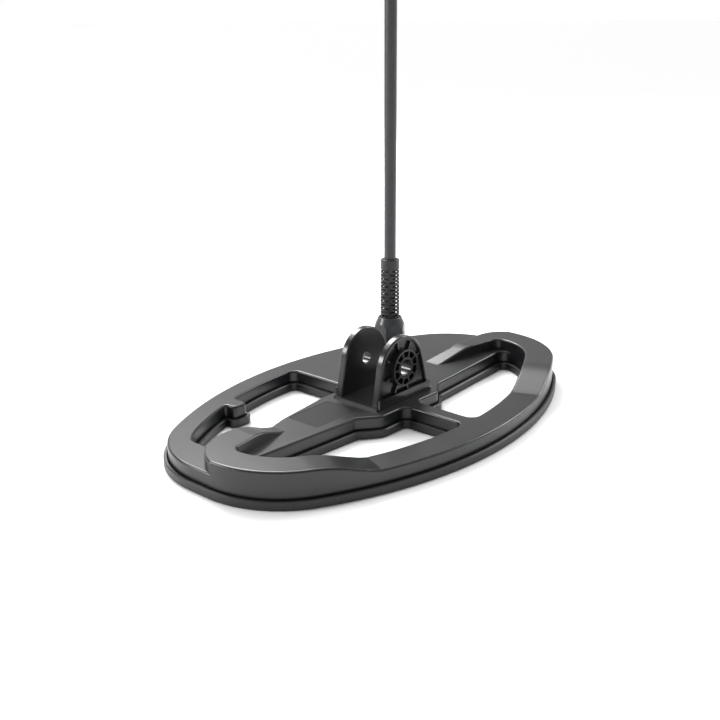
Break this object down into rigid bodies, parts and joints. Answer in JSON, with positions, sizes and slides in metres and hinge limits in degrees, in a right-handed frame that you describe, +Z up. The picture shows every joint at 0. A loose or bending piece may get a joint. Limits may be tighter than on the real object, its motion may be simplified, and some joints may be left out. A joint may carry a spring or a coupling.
{
  "type": "metal detector search coil",
  "caption": "Oval open-web search coil with two crossing D windings, clevis bracket for a detector shaft, clip-on skid cover, cable gland, cable and connector.",
  "frame": {"origin": "centre of the coil's footprint, on the surface that the skid cover stands on", "axes": "+X along the coil's length towards its heel, the end by the gland; +Y towards the far D, the side with the gland; +Z up, out of the coil's upper face"},
  "size_m": [0.24, 0.147, 0.241],
  "materials": {
    "housing_plastic": "satin moulded ABS, charcoal",
    "bracket_plastic": "satin moulded ABS, charcoal, with bright moulded edges",
    "cover_plastic": "satin, slightly darker than the housing",
    "label_film": "smooth dark film, blank",
    "winding_copper": "enamelled copper wire",
    "tape": "polyester tape",
    "circuit_board": "green solder resist",
    "capacitor_film": "dipped film capacitor",
    "wire_insulation": "thin insulated wire",
    "lead_copper": "enamelled copper wire",
    "gland_nylon": "satin nylon",
    "seal_rubber": "matte",
    "relief_rubber": "satin moulded elastomer",
    "cable_jacket": "satin jacket",
    "boot_rubber": "satin moulded elastomer",
    "connector_metal": "satin nickel plate",
    "connector_plastic": "moulded insulator",
    "pin_brass": "gold plated brass"
  },
  "bodies": {
    "root": {"upper_housing": "housing_plastic", "base_plate": "housing_plastic", "shaft_bracket": "bracket_plastic", "label_plate": "label_film", "transmit_winding": "winding_copper", "receive_winding": "winding_copper", "winding_ties": "tape", "junction_board": "circuit_board", "tuning_capacitors": "capacitor_film", "core_wires": "wire_insulation", "transmit_leads": "lead_copper", "receive_leads": "lead_copper", "gland_body": "gland_nylon", "gland_o_ring": "seal_rubber", "gland_locknut": "gland_nylon", "gland_seal": "seal_rubber", "strain_relief": "relief_rubber", "inner_cable": "cable_jacket", "coil_cable": "cable_jacket", "connector_boot": "boot_rubber", "connector_shell": "connector_metal", "connector_insert": "connector_plastic", "connector_pins": "pin_brass", "connector_seal": "seal_rubber"},
    "cover": {"skid_cover": "cover_plastic"},
    "gland_nut": {"gland_nut": "gland_nylon"},
    "connector_ring": {"connector_ring": "connector_metal"}
  },
  "joints": [
    {"name": "cover_slide", "type": "slide", "parent": "root", "child": "cover", "axis": [0, 0, -1], "range_m": [0, 0.02]},
    {"name": "gland_nut_turn", "type": "hinge", "parent": "root", "child": "gland_nut", "pos_m": [0.037, 0.0227, 0.026], "axis": [0, 0, 1], "range_deg": [0, 720]},
    {"name": "connector_ring_turn", "type": "hinge", "parent": "root", "child": "connector_ring", "pos_m": [0.037, 0.0227, 0.234], "axis": [0, 0, 1], "continuous": true}
  ]
}
